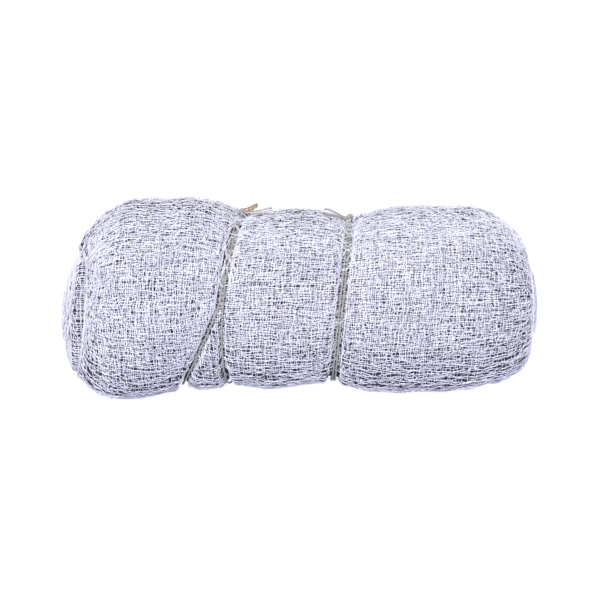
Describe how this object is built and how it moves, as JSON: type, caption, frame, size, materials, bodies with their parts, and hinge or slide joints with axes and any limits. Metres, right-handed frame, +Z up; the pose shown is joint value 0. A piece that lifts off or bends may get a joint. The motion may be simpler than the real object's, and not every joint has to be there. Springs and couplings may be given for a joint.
{
  "type": "tennis net",
  "caption": "White tennis net put away: netting folded and rolled into a short soft bundle with rounded ends, drawn in by twine ties so that it swells in lobes.",
  "frame": {"origin": "on the floor under the middle of the bundle", "axes": "+X along the bundle towards the right end in the picture, -Y towards the viewer, +Z up"},
  "size_m": [0.535, 0.2417, 0.2175],
  "materials": {
    "netting": "matte, knotted white nylon twine",
    "canvas": "matte, woven white canvas tape",
    "cord": "satin, braided nylon cord",
    "twine": "matte, twisted natural twine"
  },
  "bodies": {
    "outer": {"outer_turn": "netting", "left_tie": "twine", "left_knot": "twine", "left_tail_front": "twine", "left_tail_back": "twine", "right_tie": "twine", "right_knot": "twine", "right_tail_front": "twine", "right_tail_back": "twine"},
    "inner": {"inner_turn": "netting", "head_band": "canvas", "head_cord": "cord"}
  },
  "joints": [
    {"name": "inner_slide", "type": "slide", "parent": "outer", "child": "inner", "axis": [1, 0, 0], "range_m": [-0.02, 0.02]}
  ]
}
